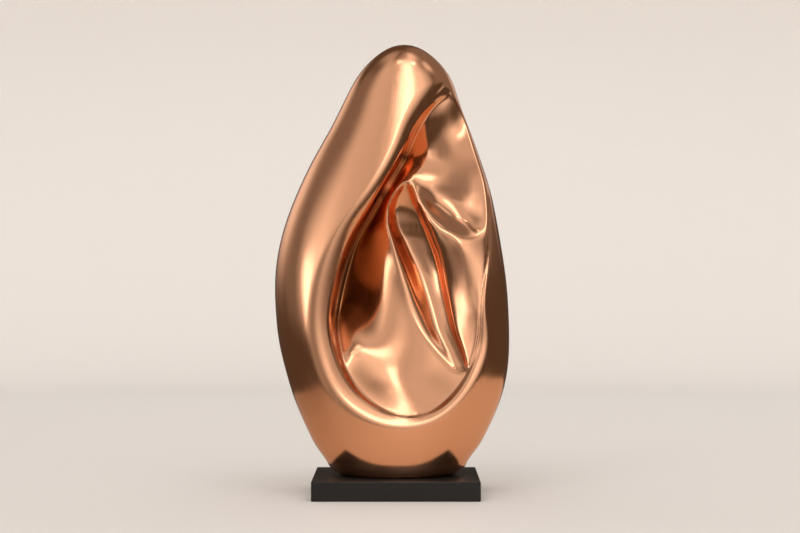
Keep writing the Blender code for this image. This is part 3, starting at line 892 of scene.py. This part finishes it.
# %% [markdown]
# ## The room in the mirror
#
# The world gives plain soft light to everything matt. To the mirror it shows a dim warm room with large soft
# panels of light in it, and two narrow bright ones that make the streaks on the arm.
#
# A panel is a soft-edged patch on the sky. Its row gives four azimuths, where it starts to rise, is full,
# starts to fall and is gone, then the same four for elevation, and last its brightness.

# %% Panels of light
PANELS = (
    (-164, -133, -115, -75, -6, 20, 23, 41, 0.90),
    (-68, -44, -40, -23, -8, 2, 9, 33, 0.79),
    (-54, -27, -20, 15, 4, 10, 52, 74, 0.64),
    (-13, 10, 12, 41, -15, 12, 59, 89, 0.85),
    (7, 20, 36, 46, -10, 13, 42, 57, 0.31),
    (33, 45, 52, 70, 44, 55, 59, 65, 0.79),
    (41, 53, 140, 179, 7, 16, 88, 90, 0.14),
    (-98, -78, -54, -38, -6, 0, 40, 62, 0.13),
    (-110, -70, -33, -13, 54, 70, 72, 93, 0.38),
    (5, 11, 31, 60, 61, 73, 75, 86, 0.71),
    (120, 133, 150, 179, 6, 12, 24, 30, 0.43),
    (-4, 2, 6, 12, 10, 22, 52, 70, 2.20),
    (-57, -50, -45, -38, -4, 1, 7, 14, 2.20),
    (-45, -30, 30, 50, -18, -8, 4, 14, 0.25),
)
print("panels in the mirror:", len(PANELS), "and the brightest:", max(panel[-1] for panel in PANELS))

# %% [markdown]
# ## The world's nodes
#
# The direction that a ray looks in is turned into an azimuth and an elevation. Each panel multiplies four
# soft steps on them, the panels are added up on top of the room's own glow, and a switch shows all this to
# glossy rays alone.

# %% World
ROOM_GLOW = 0.08
ROOM_RISE = 0.03
ROOM_TOP = 60
ROOM_TINT = (1.0, 0.76, 0.56)
PANEL_TINT = (0.98, 1.0, 1.03)
SOFT_LIGHT = (1.33, 1.32, 1.30, 1.0)
DEGREES = 180 / math.pi

world = bpy.data.worlds.new("studio")
bpy.context.scene.world = world
world.use_nodes = True
tree = world.node_tree


def math_node(tree, operation, first, second=0.0):
    """One step of arithmetic on two values, each of them a number or another node's output."""
    node = tree.nodes.new("ShaderNodeMath")
    node.operation = operation
    for socket, value in zip(node.inputs, (first, second)):
        if isinstance(value, (int, float)):
            socket.default_value = value
        else:
            tree.links.new(value, socket)
    return node.outputs[0]


def soft_step(tree, value, start, end, low=0.0, high=1.0):
    """Runs from low to high as the value goes from start to end, level at both ends: 3 t ** 2 - 2 t ** 3."""
    node = tree.nodes.new("ShaderNodeMapRange")
    node.interpolation_type = "SMOOTHSTEP"
    for socket, amount in zip(("From Min", "From Max", "To Min", "To Max"), (start, end, low, high)):
        node.inputs[socket].default_value = amount
    tree.links.new(value, node.inputs["Value"])
    return node.outputs["Result"]


def soft_band(tree, value, rise_start, rise_end, fall_start, fall_end):
    """A step up times a step down, so it is 1 between them and 0 outside."""
    up = soft_step(tree, value, rise_start, rise_end)
    down = soft_step(tree, value, fall_start, fall_end, 1.0, 0.0)
    return math_node(tree, "MULTIPLY", up, down)


def tinted(tree, value, colour):
    """A colour scaled by a value."""
    node = tree.nodes.new("ShaderNodeVectorMath")
    node.operation = "SCALE"
    node.inputs[0].default_value = colour
    tree.links.new(value, node.inputs["Scale"])
    return node.outputs[0]


direction = tree.nodes.new("ShaderNodeSeparateXYZ")
tree.links.new(tree.nodes.new("ShaderNodeTexCoord").outputs["Generated"], direction.inputs[0])
towards = math_node(tree, "MULTIPLY", direction.outputs[1], -1.0)
turned = math_node(tree, "ARCTAN2", direction.outputs[0], towards)
azimuth = math_node(tree, "MULTIPLY", turned, DEGREES)
elevation = math_node(tree, "MULTIPLY", math_node(tree, "ARCSINE", direction.outputs[2]), DEGREES)
panels = 0.0
for *edges, brightness in PANELS:
    across = soft_band(tree, azimuth, *edges[:4])
    upward = soft_band(tree, elevation, *edges[4:])
    patch = math_node(tree, "MULTIPLY", math_node(tree, "MULTIPLY", across, upward), brightness)
    panels = math_node(tree, "ADD", panels, patch)
room = soft_step(tree, elevation, 0, ROOM_TOP, ROOM_GLOW, ROOM_GLOW + ROOM_RISE)
both = tree.nodes.new("ShaderNodeVectorMath")
both.operation = "ADD"
tree.links.new(tinted(tree, room, ROOM_TINT), both.inputs[0])
tree.links.new(tinted(tree, panels, PANEL_TINT), both.inputs[1])
in_mirror = tree.nodes.new("ShaderNodeLightPath").outputs["Is Glossy Ray"]
light = mix_colours(tree, in_mirror, SOFT_LIGHT, both.outputs[0])
tree.links.new(light, tree.nodes["Background"].inputs["Color"])
print("the world has", len(tree.nodes), "nodes")

# %% [markdown]
# ## Camera
#
# The camera stands level, straight in front, as far back as a portrait lens needs. Colours are shown plainly,
# with no film curve over them.

# %% Camera
CAMERA_PLACE = (0.0041, -1.959, 0.2354)
LENS = 85.0

camera = bpy.data.objects.new("camera", bpy.data.cameras.new("camera"))
camera.data.lens = LENS
camera.location = CAMERA_PLACE
camera.rotation_euler = (math.pi / 2, 0.0, 0.0)
bpy.context.scene.collection.objects.link(camera)
bpy.context.scene.camera = camera
bpy.context.scene.view_settings.view_transform = "Standard"
print("camera is", round(-CAMERA_PLACE[1], 3), "m in front")
